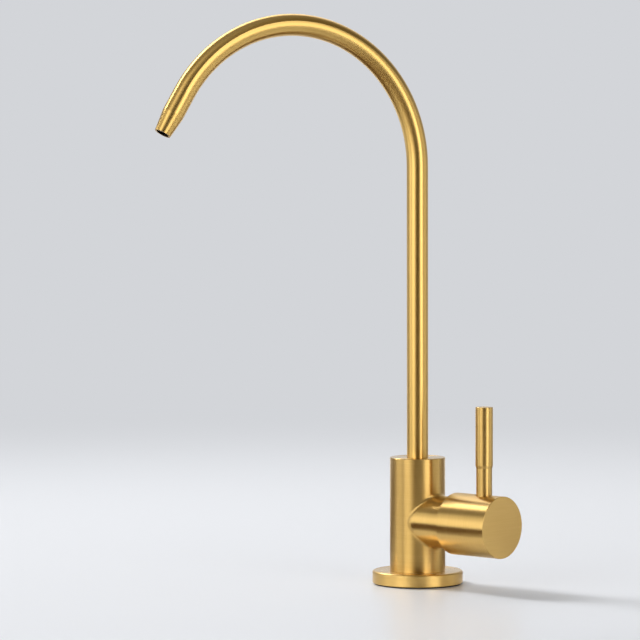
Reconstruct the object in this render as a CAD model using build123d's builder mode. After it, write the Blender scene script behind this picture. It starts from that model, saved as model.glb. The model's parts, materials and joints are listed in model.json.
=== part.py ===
"""Drinking water filter tap for a worktop: swivel gooseneck spout, quarter turn side lever."""

import os
from math import cos, radians, sin

from build123d import *

# Millimetres. The origin lies on the worktop, on the axis of the round body. +Z is up, +X runs
# along the side branch to the handle, and -Y faces the sink. Below Z 0 is under the worktop.

# Fits between pieces
running_fit = 0.05
thread_fit = 0.05
loose_fit = 0.25
end_play = 0.3
overrun = 1.0
break_edge = 0.3

# Foot plate and its gasket
flange_radius = 25.3
flange_thickness = 6.9
flange_top_round = 1.2
flange_low_round = 0.4
gasket_show = 0.7
gasket_thickness = 2.0
gasket_width = 8.0
gasket_rim = 1.2

# Body column and side branch
body_radius = 15.5
body_height = 63.4
spigot_radius = 9.0
spigot_depth = 2.5
branch_radius = 14.6
branch_reach = 33.0
branch_blend = 1.8

# Waterways in the body
inlet_radius = 3.5
seat_wall = 2.0
seat_port_radius = 3.0
outlet_radius = 2.2
socket_wall = 2.26
outlet_slope = 52.6

# Threaded shank through the worktop
shank_radius = 5.55
shank_bore = 3.2
shank_engagement = 12.0
shank_drop = 60.0
shank_plain = 4.0
thread_pitch = 1.058
thread_depth = 0.55
shank_seal_thickness = 1.2

# Gooseneck tube
tube_radius = 6.0
tube_wall = 1.0
riser_height = 162.2
arch_radius = 77.4
arch_sweep = 149.1
outlet_run = 13.4
taper_length = 11.8
tip_radius = 4.6
tip_round = 0.3
spout_turn = 19.35

# Spout foot with its rings and lock screw
tube_entry = 7.2
foot_bore = 3.5
foot_land = 1.2
foot_spigot_length = 8.0
oring_section = 1.6
oring_groove_width = 2.1
lock_groove_width = 3.4
lock_groove_depth = 1.5
wear_ring_width = 2.4
wear_ring_thickness = 0.8
wear_ring_split = 1.0
lock_screw_radius = 2.0
lock_dog_radius = 1.3
lock_screw_sink = 0.8
lock_key_width = 2.0
lock_key_depth = 2.2

# Ceramic cartridge
chamber_radius = 9.5
seat_seal_thickness = 1.5
seat_seal_radius = 6.0
disc_radius = 6.4
fixed_disc_thickness = 2.4
moving_disc_thickness = 2.4
disc_port_radius = 5.2
disc_port_core = 1.6
disc_port_angle = 70.0
disc_ear_width = 2.0
disc_ear_height = 0.8
disc_fit = 0.1
waist_radius = 8.0
window_gap = 0.4
window_length = 3.0
window_angle = 100.0
shoulder_radius = 6.2
shoulder_thickness = 2.0
glide_thickness = 0.8
barrel_length = 6.0
cartridge_flange_radius = 11.0
cartridge_flange_thickness = 2.5
neck_radius = 7.0
neck_length = 6.5

# Valve stem
stem_radius = 4.5
stem_end_radius = 4.0
stem_flat = 3.0
stem_end_length = 20.4
stem_oring_section = 1.4
stem_groove_width = 1.9
dog_width = 2.4
dog_height = 1.0
dog_fit = 0.05
quarter_turn = 90.0
stop_play = 0.5
stop_tab_angle = 36.0
crown_wall = 1.2
stop_washer_thickness = 1.2
stop_washer_play = 0.1
clip_thickness = 0.7
clip_depth = 0.5
clip_radius = 5.5
clip_gap_angle = 70.0

# Cartridge nut
nut_thread_radius = 11.5
nut_lift = 0.5
nut_head_across_flats = 22.0
nut_head_height = 3.0
nut_bore_gap = 0.2

# Handle hub and lever
hub_radius = 17.13
hub_rear = 28.0
hub_length = 33.3
hub_bore_gap = 0.35
hub_cavity_depth = 14.0
hub_front_round = 0.3
hub_rear_round = 0.35
hub_ring_width = 2.0
hub_ring_depth = 1.0
hub_ring_inset = 0.4
lever_place = 48.4
lever_stem_radius = 4.4
lever_seat_depth = 2.0
lever_rim_width = 0.8
lever_screw_radius = 3.0
lever_neck_height = 67.6
lever_grip_radius = 4.85
lever_bevel_height = 1.7
lever_top = 101.4
lever_top_round = 0.3
grip_screw_radius = 2.5
grip_screw_length = 12.0

# Clamp under the worktop
worktop_thickness = 20.0
deck_washer_radius = 15.0
deck_washer_thickness = 3.0
clamp_washer_radius = 13.5
clamp_washer_thickness = 1.6
lock_washer_radius = 9.5
lock_washer_thickness = 0.8
lock_tooth_count = 12
lock_tooth_depth = 1.6
lock_tooth_gap = 1.4
mounting_nut_across_flats = 17.0
mounting_nut_height = 7.0

# Push-fit connector for the water tube
water_tube_radius = 3.175
water_tube_fit = 0.075
collet_fit = 0.225
adaptor_radius = 9.0
adaptor_top_across_flats = 20.0
adaptor_engagement = 10.0
adaptor_washer_thickness = 2.0
adaptor_partition = 2.0
adaptor_port = 2.2
tube_pilot_length = 8.0
port_gland_radius = 5.0
port_gland_length = 2.2
sleeve_radius = 6.6
sleeve_shelf = 0.8
sleeve_head_length = 3.4
sleeve_lip_length = 1.4
sleeve_lip_radius = 4.7
collet_head_radius = 4.95
collet_head_length = 1.9
collet_wall = 1.15
collet_rest_gap = 1.4
collet_play = 0.1
collet_flange_radius = 7.0
collet_flange_thickness = 1.6
collet_slot = 1.0
collet_slot_count = 4

# Heights worked out from the sizes above
flange_top = gasket_show + flange_thickness
body_top = flange_top + body_height
arch_z = body_top + riser_height
foot_length = 5 * foot_land + 2 * oring_groove_width + lock_groove_width + wear_ring_width
foot_top = body_top - tube_entry
foot_bottom = foot_top - foot_length
socket_floor = foot_bottom - end_play
branch_z = socket_floor - socket_wall - chamber_radius
socket_radius = tube_radius + running_fit
lower_groove = foot_bottom + foot_land
lock_groove = lower_groove + oring_groove_width + foot_land
upper_groove = lock_groove + lock_groove_width + foot_land
wear_groove = upper_groove + oring_groove_width + foot_land
lock_groove_radius = tube_radius - lock_groove_depth
lock_screw_z = lock_groove + lock_groove_width / 2

# Places along the branch, measured from the body's axis
seat_x = inlet_radius + seat_wall
cartridge_x = seat_x + seat_seal_thickness
moving_disc_x = cartridge_x + fixed_disc_thickness
stem_foot_x = moving_disc_x + moving_disc_thickness
window_x = stem_foot_x + window_gap
shoulder_x = window_x + window_length + window_gap
glide_x = shoulder_x + shoulder_thickness
stem_bore_x = glide_x + glide_thickness
cartridge_flange_x = stem_bore_x + barrel_length
neck_x = cartridge_flange_x + cartridge_flange_thickness
neck_end_x = neck_x + neck_length
crown_depth = stop_washer_thickness + 2 * stop_washer_play
stem_step_x = neck_end_x - crown_depth + stop_washer_play
clip_x = stem_step_x + stop_washer_thickness + stop_washer_play
stem_end_x = clip_x + stem_end_length
disc_bore = disc_radius + disc_fit
hub_cavity_x = hub_rear + hub_cavity_depth
hub_bore = branch_radius + hub_bore_gap
hub_ring_x = hub_rear + hub_ring_inset

# Heights under the worktop
deck_washer_top = -worktop_thickness
clamp_washer_top = deck_washer_top - deck_washer_thickness
lock_washer_top = clamp_washer_top - clamp_washer_thickness
nut_top = lock_washer_top - lock_washer_thickness
shank_hole = shank_radius + loose_fit
adaptor_top = adaptor_engagement - shank_drop
partition_top = -shank_drop - adaptor_washer_thickness
tube_stop = partition_top - adaptor_partition
gland_top = tube_stop - tube_pilot_length
sleeve_top = gland_top - port_gland_length
sleeve_head_top = sleeve_top - sleeve_shelf
lip_top = sleeve_head_top - sleeve_head_length
adaptor_bottom = lip_top - sleeve_lip_length
tube_hole = water_tube_radius + water_tube_fit
collet_head_bottom = lip_top + collet_play
collet_bore = water_tube_radius + collet_fit
collet_radius = collet_bore + collet_wall
collet_flange_top = adaptor_bottom - collet_rest_gap


def level(z):
    """Horizontal plane at a height, facing up."""
    return Plane.XY.offset(z)


def across(x):
    """Plane square to the branch's axis: its X runs along +Y, its Y along +Z, its normal +X."""
    return Plane(origin=(x, 0, branch_z), x_dir=(0, 1, 0), z_dir=(1, 0, 0))


def bar(plane, radius, length, mode=Mode.ADD):
    """Round bar from a plane along its normal, added to or cut from the open part."""
    with BuildSketch(plane) as face:
        Circle(radius)
    extrude(face.sketch, amount=length, mode=mode)


def ring(plane, radius, hole, length, mode=Mode.ADD):
    """Round ring from a plane along its normal."""
    with BuildSketch(plane) as face:
        Circle(radius)
        Circle(hole, mode=Mode.SUBTRACT)
    extrude(face.sketch, amount=length, mode=mode)


def hexagon(plane, across_flats, hole, length):
    """Hexagonal ring from a plane along its normal."""
    with BuildSketch(plane) as face:
        RegularPolygon(across_flats / 2, 6, major_radius=False)
        Circle(hole, mode=Mode.SUBTRACT)
    extrude(face.sketch, amount=length)


def sector(plane, radius, hole, middle, angle, length, mode=Mode.ADD):
    """Slice of a ring, an angle wide, centred on the direction called middle."""
    start = middle - angle / 2
    with BuildSketch(plane) as face:
        with BuildLine() as outline:
            arc = CenterArc((0, 0), radius, start, angle)
            Line(arc @ 1, (0, 0))
            Line((0, 0), arc @ 0)
        make_face(outline.edges())
        Circle(hole, mode=Mode.SUBTRACT)
    extrude(face.sketch, amount=length, mode=mode)


def flatted_bar(plane, radius, flat, length, mode=Mode.ADD):
    """Round bar with one flat on its upper side."""
    with BuildSketch(plane) as face:
        Circle(radius)
        with Locations((0, flat)):
            Rectangle(2 * radius, radius, align=(Align.CENTER, Align.MIN), mode=Mode.SUBTRACT)
    extrude(face.sketch, amount=length, mode=mode)


def seal_ring(plane, groove, bore):
    """Round-section rubber ring that fills the space from a groove's floor to a bore."""
    with Locations(plane):
        Torus((bore + groove) / 2, (bore - groove) / 2)


# Foot plate: the body's spigot sits in its top, the gasket in a groove underneath
gasket_outer = flange_radius - gasket_rim
gasket_inner = gasket_outer - gasket_width

with BuildPart() as base_flange:
    bar(level(gasket_show), flange_radius, flange_thickness)
    rims = base_flange.edges().filter_by(GeomType.CIRCLE).sort_by(Axis.Z)
    fillet(rims[-1], flange_top_round)
    fillet(base_flange.edges().filter_by(GeomType.CIRCLE).sort_by(Axis.Z)[0], flange_low_round)
    bar(level(flange_top - spigot_depth), spigot_radius + running_fit, spigot_depth, Mode.SUBTRACT)
    bar(level(gasket_show), shank_hole, flange_thickness, Mode.SUBTRACT)
    groove_depth = gasket_thickness - gasket_show
    ring(level(gasket_show), gasket_outer, gasket_inner, groove_depth, Mode.SUBTRACT)

with BuildPart() as base_gasket:
    ring(level(0), gasket_outer - running_fit, gasket_inner + running_fit, gasket_thickness)

# Body: column and branch in one casting, bored for the shank, the spout and the cartridge
shank_top = flange_top + shank_engagement
inlet_height = branch_z + seat_port_radius - flange_top
passage = Vector(-cos(radians(outlet_slope)), 0, sin(radians(outlet_slope)))
passage_end = Vector(0, 0, socket_floor) + passage * outlet_radius
passage_length = (socket_floor - branch_z) / sin(radians(outlet_slope))

with BuildPart() as body_tee:
    bar(level(flange_top), body_radius, body_height)
    bar(across(0), branch_radius, branch_reach)
    joint_edges = body_tee.edges().filter_by(GeomType.CIRCLE, reverse=True)
    fillet(joint_edges.filter_by(GeomType.LINE, reverse=True), branch_blend)
    chamfer(body_tee.faces().sort_by(Axis.Z)[-1].edges(), break_edge)
    bar(level(flange_top - spigot_depth), spigot_radius, spigot_depth)
    ring_seat = branch_radius - hub_ring_depth
    ring(across(hub_ring_x), branch_radius + overrun, ring_seat, hub_ring_width, Mode.SUBTRACT)
    shank_socket = spigot_depth + shank_engagement + shank_seal_thickness
    bar(level(flange_top - spigot_depth), shank_radius + thread_fit, shank_socket, Mode.SUBTRACT)
    bar(level(flange_top), inlet_radius, inlet_height, Mode.SUBTRACT)
    bar(across(0), seat_port_radius, seat_x, Mode.SUBTRACT)
    bar(across(seat_x), chamber_radius, branch_reach - seat_x, Mode.SUBTRACT)
    thread_length = branch_reach - cartridge_flange_x
    bar(across(cartridge_flange_x), nut_thread_radius + thread_fit, thread_length, Mode.SUBTRACT)
    bar(level(socket_floor), socket_radius, body_top - socket_floor, Mode.SUBTRACT)
    bar(Plane(origin=passage_end, z_dir=-passage), outlet_radius, passage_length, Mode.SUBTRACT)
    screw_plane = Plane(origin=(0, 0, lock_screw_z), z_dir=(0, 1, 0))
    bar(screw_plane, lock_screw_radius + thread_fit, body_radius, Mode.SUBTRACT)

# Hollow shank: the crests and roots of the thread are drawn as rings, one for each pitch
with BuildPart() as threaded_shank:
    thread_start = -shank_plain
    turns = int((shank_drop - shank_plain - break_edge) / thread_pitch)
    root = shank_radius - thread_depth
    profile = [(shank_bore, shank_top), (shank_radius, shank_top), (shank_radius, thread_start)]
    for turn in range(turns):
        crest = thread_start - turn * thread_pitch
        profile += [(root, crest - thread_pitch / 2), (shank_radius, crest - thread_pitch)]
    profile += [(shank_radius, -shank_drop), (shank_bore, -shank_drop)]
    with BuildSketch(Plane.XZ):
        with BuildLine():
            Polyline(*profile, close=True)
        make_face()
    revolve(axis=Axis.Z)

with BuildPart() as shank_seal_washer:
    ring(level(shank_top), shank_radius, inlet_radius, shank_seal_thickness)

# Gooseneck: a straight riser, a round arch and a straight run that is swaged to the outlet
outward = Vector(0, -1, 0).rotate(Axis.Z, -spout_turn)
upward = Vector(0, 0, 1)
arch_axis = Axis(outward * arch_radius + upward * arch_z, upward.cross(outward))
downward = upward * cos(radians(arch_sweep)) + outward * sin(radians(arch_sweep))
spoke = upward * sin(radians(arch_sweep)) - outward * cos(radians(arch_sweep))
arch_end = outward * arch_radius + upward * arch_z + spoke * arch_radius
outlet_plane = Plane(origin=arch_end, z_dir=downward)


def gooseneck(radius, end_radius, mode=Mode.ADD):
    """Bar of the gooseneck's whole course, added as its outside or cut as its bore."""
    bar(level(foot_top), radius, arch_z - foot_top, mode)
    with BuildSketch(level(arch_z)) as section:
        Circle(radius)
    revolve(section.sketch, axis=arch_axis, revolution_arc=arch_sweep, mode=mode)
    bar(outlet_plane, radius, outlet_run, mode)
    with Locations(outlet_plane.offset(outlet_run)):
        at_start = (Align.CENTER, Align.CENTER, Align.MIN)
        Cone(radius, end_radius, taper_length, align=at_start, mode=mode)


with BuildPart() as spout_tube:
    gooseneck(tube_radius, tip_radius)
    gooseneck(tube_radius - tube_wall, tip_radius - tube_wall, Mode.SUBTRACT)
    tip_edges = spout_tube.edges().group_by(Axis((0, 0, 0), downward))[-1]
    fillet(tip_edges, tip_round)

oring_groove_radius = tube_radius - oring_section + running_fit

with BuildPart() as spout_foot:
    bar(level(foot_bottom), tube_radius, foot_length)
    bar(level(foot_top), tube_radius - tube_wall - running_fit, foot_spigot_length)
    bar(level(foot_bottom), foot_bore, foot_length + foot_spigot_length, Mode.SUBTRACT)
    for groove in (lower_groove, upper_groove):
        ring(level(groove), tube_radius, oring_groove_radius, oring_groove_width, Mode.SUBTRACT)
    ring(level(lock_groove), tube_radius, lock_groove_radius, lock_groove_width, Mode.SUBTRACT)
    wear_seat = tube_radius - wear_ring_thickness
    ring(level(wear_groove), tube_radius, wear_seat, wear_ring_width, Mode.SUBTRACT)

with BuildPart() as spout_oring_lower:
    seal_ring(level(lower_groove + oring_groove_width / 2), oring_groove_radius, tube_radius)

with BuildPart() as spout_oring_upper:
    seal_ring(level(upper_groove + oring_groove_width / 2), oring_groove_radius, tube_radius)

with BuildPart() as spout_wear_ring:
    ring_outer = tube_radius + running_fit / 2
    ring(level(wear_groove), ring_outer, tube_radius - wear_ring_thickness, wear_ring_width)
    with BuildSketch(level(wear_groove)):
        Rectangle(wear_ring_split, ring_outer, align=(Align.CENTER, Align.MIN))
    extrude(amount=wear_ring_width, mode=Mode.SUBTRACT)

# Grub screw at the back of the body: its dog runs in the foot's groove and keeps the spout in
with BuildPart() as spout_lock_screw:
    dog_tip = lock_groove_radius + end_play
    thread_tip = socket_radius + end_play
    screw_head = body_radius - lock_screw_sink
    bar(screw_plane.offset(dog_tip), lock_dog_radius, thread_tip - dog_tip)
    bar(screw_plane.offset(thread_tip), lock_screw_radius, screw_head - thread_tip)
    with BuildSketch(screw_plane.offset(screw_head - lock_key_depth)):
        RegularPolygon(lock_key_width / 2, 6, major_radius=False)
    extrude(amount=lock_key_depth, mode=Mode.SUBTRACT)

# Ceramic cartridge, from the seat in the body out to the hub
with BuildPart() as cartridge_seat_seal:
    ring(across(seat_x), seat_seal_radius, seat_port_radius, seat_seal_thickness)

cartridge_oring_x = cartridge_flange_x - foot_land - oring_groove_width
cartridge_groove_radius = chamber_radius - oring_section
barrel_radius = chamber_radius - running_fit
stem_bore = stem_radius + running_fit
crown_hole = neck_radius - crown_wall

with BuildPart() as cartridge_housing:
    bar(across(cartridge_x), waist_radius, shoulder_x - cartridge_x)
    bar(across(shoulder_x), barrel_radius, cartridge_flange_x - shoulder_x)
    bar(across(cartridge_flange_x), cartridge_flange_radius, cartridge_flange_thickness)
    bar(across(neck_x), neck_radius, neck_length)
    bar(across(cartridge_x), disc_bore, stem_bore_x - cartridge_x, Mode.SUBTRACT)
    bar(across(stem_bore_x), stem_bore, neck_end_x - stem_bore_x, Mode.SUBTRACT)
    groove_plane = across(cartridge_oring_x)
    ring(groove_plane, barrel_radius, cartridge_groove_radius, oring_groove_width, Mode.SUBTRACT)
    windows = across(window_x)
    for side in (90, 270):
        sector(windows, waist_radius, stem_radius, side, window_angle, window_length, Mode.SUBTRACT)
    crown = across(neck_end_x - crown_depth)
    crown_gap = quarter_turn + stop_tab_angle + 2 * stop_play
    bar(crown, crown_hole, crown_depth, Mode.SUBTRACT)
    sector(crown, neck_radius, stem_bore, 90, crown_gap, crown_depth, Mode.SUBTRACT)
    with BuildSketch(across(cartridge_x)):
        ear_reach = 2 * (disc_radius + disc_ear_height + disc_fit)
        Rectangle(ear_reach, disc_ear_width + 2 * disc_fit)
    extrude(amount=fixed_disc_thickness, mode=Mode.SUBTRACT)

with BuildPart() as cartridge_oring:
    oring_plane = across(cartridge_oring_x + oring_groove_width / 2)
    seal_ring(oring_plane, cartridge_groove_radius, chamber_radius)


def port_holes(plane, first_side, thickness):
    """Two sector holes, opposite each other, through a ceramic disc."""
    for side in (first_side, first_side + 180):
        sector(plane, disc_port_radius, disc_port_core, side, disc_port_angle, thickness, Mode.SUBTRACT)


with BuildPart() as fixed_disc:
    with BuildSketch(across(cartridge_x)):
        Circle(disc_radius)
        Rectangle(2 * (disc_radius + disc_ear_height), disc_ear_width)
    extrude(amount=fixed_disc_thickness)
    port_holes(across(cartridge_x), 90, fixed_disc_thickness)

with BuildPart() as moving_disc:
    bar(across(moving_disc_x), disc_radius, moving_disc_thickness)
    port_holes(across(moving_disc_x), 0, moving_disc_thickness)
    with BuildSketch(across(stem_foot_x - dog_height)):
        Rectangle(dog_width + 2 * dog_fit, 2 * disc_radius)
    extrude(amount=dog_height, mode=Mode.SUBTRACT)

# Stem: its dog turns the moving disc, and its flatted end drives the hub
stem_groove_radius = stem_bore - stem_oring_section
first_groove = stem_bore_x + foot_land
second_groove = neck_x + foot_land

with BuildPart() as valve_stem:
    bar(across(stem_foot_x), stem_radius, stem_step_x - stem_foot_x)
    bar(across(shoulder_x), shoulder_radius, shoulder_thickness)
    for groove in (first_groove, second_groove):
        ring(across(groove), stem_radius, stem_groove_radius, stem_groove_width, Mode.SUBTRACT)
    flatted_bar(across(stem_step_x), stem_end_radius, stem_flat, stem_end_x - stem_step_x)
    clip_seat = stem_end_radius - clip_depth
    ring(across(clip_x), stem_end_radius, clip_seat, clip_thickness, Mode.SUBTRACT)
    with BuildSketch(across(stem_foot_x - dog_height + dog_fit)):
        Rectangle(dog_width, 2 * stem_radius)
    extrude(amount=dog_height - dog_fit)

with BuildPart() as stem_glide_washer:
    ring(across(glide_x), disc_radius, stem_bore, glide_thickness)

seal_outer = stem_bore - running_fit / 2

with BuildPart() as stem_oring_inner:
    seal_ring(across(first_groove + stem_groove_width / 2), stem_groove_radius, seal_outer)

with BuildPart() as stem_oring_outer:
    seal_ring(across(second_groove + stem_groove_width / 2), stem_groove_radius, seal_outer)

flat_hole_radius = stem_end_radius + running_fit
flat_hole_top = stem_flat + running_fit

with BuildPart() as stop_washer:
    face = across(stem_step_x)
    thickness = stop_washer_thickness
    bar(face, crown_hole - disc_fit, thickness)
    tab_rest = 90 - quarter_turn / 2
    sector(face, neck_radius - break_edge, stem_radius, tab_rest, stop_tab_angle, thickness)
    flatted_bar(face, flat_hole_radius, flat_hole_top, thickness, Mode.SUBTRACT)

with BuildPart() as stem_clip:
    ring(across(clip_x), clip_radius, clip_seat, clip_thickness)
    sector(across(clip_x), clip_radius, clip_seat, 270, clip_gap_angle, clip_thickness, Mode.SUBTRACT)

with BuildPart() as cartridge_nut:
    nut_head_x = branch_reach + nut_lift
    nut_bore = neck_radius + nut_bore_gap
    ring(across(neck_x), nut_thread_radius, nut_bore, nut_head_x - neck_x)
    hexagon(across(nut_head_x), nut_head_across_flats, nut_bore, nut_head_height)

# Handle: a cap that covers the end of the branch, with the lever screwed down on the stem's flat
lever_seat_z = branch_z + hub_radius - lever_seat_depth
lever_hole = lever_stem_radius + running_fit


def lever_plane(z):
    """Horizontal plane on the lever's axis, facing up."""
    return Plane(origin=(lever_place, 0, z))


with BuildPart() as handle_hub:
    bar(across(hub_rear), hub_radius, hub_length)
    rims = handle_hub.edges().filter_by(GeomType.CIRCLE).sort_by(Axis.X)
    fillet(rims[-1], hub_front_round)
    fillet(handle_hub.edges().filter_by(GeomType.CIRCLE).sort_by(Axis.X)[0], hub_rear_round)
    bar(across(hub_rear), hub_bore, hub_cavity_depth, Mode.SUBTRACT)
    stem_hole_depth = stem_end_x + end_play - hub_cavity_x
    cavity_floor = across(hub_cavity_x)
    flatted_bar(cavity_floor, flat_hole_radius, flat_hole_top, stem_hole_depth, Mode.SUBTRACT)
    bar(lever_plane(lever_seat_z), lever_hole, lever_seat_depth + overrun, Mode.SUBTRACT)
    bar(lever_plane(branch_z), lever_screw_radius + thread_fit, hub_radius, Mode.SUBTRACT)
    with Locations(lever_plane(branch_z + hub_radius - lever_rim_width)):
        rim_height = lever_rim_width + overrun
        at_start = (Align.CENTER, Align.CENTER, Align.MIN)
        Cone(lever_hole, lever_hole + rim_height, rim_height, align=at_start, mode=Mode.SUBTRACT)

with BuildPart() as hub_glide_ring:
    ring(across(hub_ring_x), hub_bore - running_fit, ring_seat, hub_ring_width)

with BuildPart() as lever_stem:
    bar(lever_plane(lever_seat_z), lever_stem_radius, lever_neck_height - lever_seat_z)
    screw_tip = branch_z + stem_flat + running_fit
    bar(lever_plane(screw_tip), lever_screw_radius, lever_seat_z - screw_tip)
    bar(lever_plane(lever_neck_height), grip_screw_radius, grip_screw_length)

with BuildPart() as lever_grip:
    with Locations(lever_plane(lever_neck_height)):
        at_start = (Align.CENTER, Align.CENTER, Align.MIN)
        Cone(lever_stem_radius, lever_grip_radius, lever_bevel_height, align=at_start)
    grip_start = lever_neck_height + lever_bevel_height
    bar(lever_plane(grip_start), lever_grip_radius, lever_top - grip_start)
    fillet(lever_grip.faces().sort_by(Axis.Z)[-1].edges(), lever_top_round)
    screw_hole = grip_screw_length + end_play
    bar(lever_plane(lever_neck_height), grip_screw_radius + thread_fit, screw_hole, Mode.SUBTRACT)

# Clamp: rubber, steel and toothed washers under the worktop, pressed up by a hex nut
with BuildPart() as deck_washer:
    thickness = deck_washer_thickness
    ring(level(deck_washer_top - thickness), deck_washer_radius, shank_hole, thickness)

with BuildPart() as clamp_washer:
    thickness = clamp_washer_thickness
    ring(level(clamp_washer_top - thickness), clamp_washer_radius, shank_hole, thickness)

with BuildPart() as lock_washer:
    with BuildSketch(level(nut_top)):
        Circle(lock_washer_radius)
        Circle(shank_hole, mode=Mode.SUBTRACT)
        with PolarLocations(lock_washer_radius - lock_tooth_depth, lock_tooth_count):
            start = (Align.MIN, Align.CENTER)
            Rectangle(2 * lock_tooth_depth, lock_tooth_gap, align=start, mode=Mode.SUBTRACT)
    extrude(amount=lock_washer_thickness)

with BuildPart() as mounting_nut:
    height = mounting_nut_height
    nut_bottom = level(nut_top - height)
    hexagon(nut_bottom, mounting_nut_across_flats, shank_radius + thread_fit, height)
    chamfer(mounting_nut.edges().filter_by(GeomType.CIRCLE), break_edge)
    narrow = mounting_nut_across_flats / 2
    with Locations(nut_bottom):
        at_start = (Align.CENTER, Align.CENTER, Align.MIN)
        Cone(narrow, narrow + height, height, align=at_start, mode=Mode.INTERSECT)

# Push-fit connector on the shank's lower end
with BuildPart() as adaptor_body:
    bar(level(adaptor_bottom), adaptor_radius, adaptor_top - adaptor_bottom)
    hexagon(level(partition_top), adaptor_top_across_flats, shank_radius, adaptor_top - partition_top)
    socket_length = adaptor_top - partition_top
    bar(level(partition_top), shank_radius + thread_fit, socket_length, Mode.SUBTRACT)
    bar(level(tube_stop), adaptor_port, adaptor_partition, Mode.SUBTRACT)
    bar(level(gland_top), tube_hole, tube_pilot_length, Mode.SUBTRACT)
    bar(level(sleeve_top), port_gland_radius, port_gland_length, Mode.SUBTRACT)
    bar(level(adaptor_bottom), sleeve_radius, sleeve_top - adaptor_bottom, Mode.SUBTRACT)

with BuildPart() as adaptor_washer:
    ring(level(partition_top), shank_radius, shank_bore, adaptor_washer_thickness)

with BuildPart() as port_oring:
    seal_ring(level(sleeve_top + port_gland_length / 2), tube_hole, port_gland_radius)

with BuildPart() as port_sleeve:
    bar(level(adaptor_bottom), sleeve_radius, sleeve_top - adaptor_bottom)
    bar(level(sleeve_head_top), tube_hole + running_fit, sleeve_shelf, Mode.SUBTRACT)
    bar(level(lip_top), collet_head_radius + running_fit, sleeve_head_length, Mode.SUBTRACT)
    bar(level(adaptor_bottom), sleeve_lip_radius, sleeve_lip_length, Mode.SUBTRACT)

with BuildPart() as collet:
    bar(level(collet_flange_top), collet_radius, collet_head_bottom - collet_flange_top)
    bar(level(collet_head_bottom), collet_head_radius, collet_head_length)
    flange_bottom = collet_flange_top - collet_flange_thickness
    bar(level(flange_bottom), collet_flange_radius, collet_flange_thickness)
    collet_height = collet_head_bottom + collet_head_length - flange_bottom
    bar(level(flange_bottom), collet_bore, collet_height, Mode.SUBTRACT)
    with BuildSketch(level(adaptor_bottom)):
        with PolarLocations(0, collet_slot_count):
            Rectangle(collet_head_radius + overrun, collet_slot, align=(Align.MIN, Align.CENTER))
    extrude(amount=collet_height, mode=Mode.SUBTRACT)

pieces = {
    "base_flange": base_flange,
    "base_gasket": base_gasket,
    "body_tee": body_tee,
    "threaded_shank": threaded_shank,
    "shank_seal_washer": shank_seal_washer,
    "spout_tube": spout_tube,
    "spout_foot": spout_foot,
    "spout_oring_lower": spout_oring_lower,
    "spout_oring_upper": spout_oring_upper,
    "spout_wear_ring": spout_wear_ring,
    "spout_lock_screw": spout_lock_screw,
    "cartridge_seat_seal": cartridge_seat_seal,
    "cartridge_housing": cartridge_housing,
    "cartridge_oring": cartridge_oring,
    "cartridge_nut": cartridge_nut,
    "fixed_disc": fixed_disc,
    "moving_disc": moving_disc,
    "valve_stem": valve_stem,
    "stem_glide_washer": stem_glide_washer,
    "stem_oring_inner": stem_oring_inner,
    "stem_oring_outer": stem_oring_outer,
    "stop_washer": stop_washer,
    "stem_clip": stem_clip,
    "handle_hub": handle_hub,
    "hub_glide_ring": hub_glide_ring,
    "lever_stem": lever_stem,
    "lever_grip": lever_grip,
    "deck_washer": deck_washer,
    "clamp_washer": clamp_washer,
    "lock_washer": lock_washer,
    "mounting_nut": mounting_nut,
    "adaptor_body": adaptor_body,
    "adaptor_washer": adaptor_washer,
    "port_oring": port_oring,
    "port_sleeve": port_sleeve,
    "collet": collet,
}

os.makedirs("parts", exist_ok=True)
for name, piece in pieces.items():
    piece.part.label = name
    export_step(piece.part, f"parts/{name}.step")
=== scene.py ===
import json
from math import cos, pi, radians, sin
import bmesh
import bpy
from mathutils import Matrix, Vector


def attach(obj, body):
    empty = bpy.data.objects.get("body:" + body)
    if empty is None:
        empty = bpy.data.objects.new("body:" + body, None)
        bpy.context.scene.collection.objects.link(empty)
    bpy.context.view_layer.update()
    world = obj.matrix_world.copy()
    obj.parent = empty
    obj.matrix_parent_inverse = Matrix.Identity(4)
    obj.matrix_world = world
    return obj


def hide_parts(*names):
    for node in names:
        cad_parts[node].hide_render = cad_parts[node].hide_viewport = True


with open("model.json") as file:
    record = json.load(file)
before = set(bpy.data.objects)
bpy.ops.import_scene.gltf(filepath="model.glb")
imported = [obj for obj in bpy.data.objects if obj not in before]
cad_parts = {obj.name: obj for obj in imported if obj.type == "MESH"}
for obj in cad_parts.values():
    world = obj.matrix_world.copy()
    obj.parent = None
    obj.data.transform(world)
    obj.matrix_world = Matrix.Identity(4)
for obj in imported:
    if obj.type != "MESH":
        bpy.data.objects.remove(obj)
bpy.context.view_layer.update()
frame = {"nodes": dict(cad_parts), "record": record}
tap = frame["nodes"]

# Sizes of the CAD model that the brush lines follow
MM = 0.001
COLUMN_RADIUS = 15.5 * MM
COLUMN_TOP = 71.0 * MM
BRANCH_HEIGHT = 35.74 * MM
LEVER_X = 48.4 * MM
ARCH_RADIUS = 77.4 * MM
ARCH_CENTRE_Z = 233.2 * MM
ARCH_SWEEP = radians(149.1)
SPOUT_TURN = radians(19.35)
OUTWARD = Vector((-sin(SPOUT_TURN), -cos(SPOUT_TURN), 0))
ARCH_CENTRE = OUTWARD * ARCH_RADIUS + Vector((0, 0, ARCH_CENTRE_Z))
UP = (0, 0, 1)
BRANCH_WAY = (1, 0, 0)
ON_BRANCH_AXIS = (0, 0, BRANCH_HEIGHT)


# Small helpers


def linear(hex_colour):
    """A colour written as sRGB hex, turned to the linear numbers that the shaders take."""
    parts = [int(hex_colour[i : i + 2], 16) / 255 for i in (1, 3, 5)]
    return tuple(c / 12.92 if c <= 0.04045 else ((c + 0.055) / 1.055) ** 2.4 for c in parts) + (1,)


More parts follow.
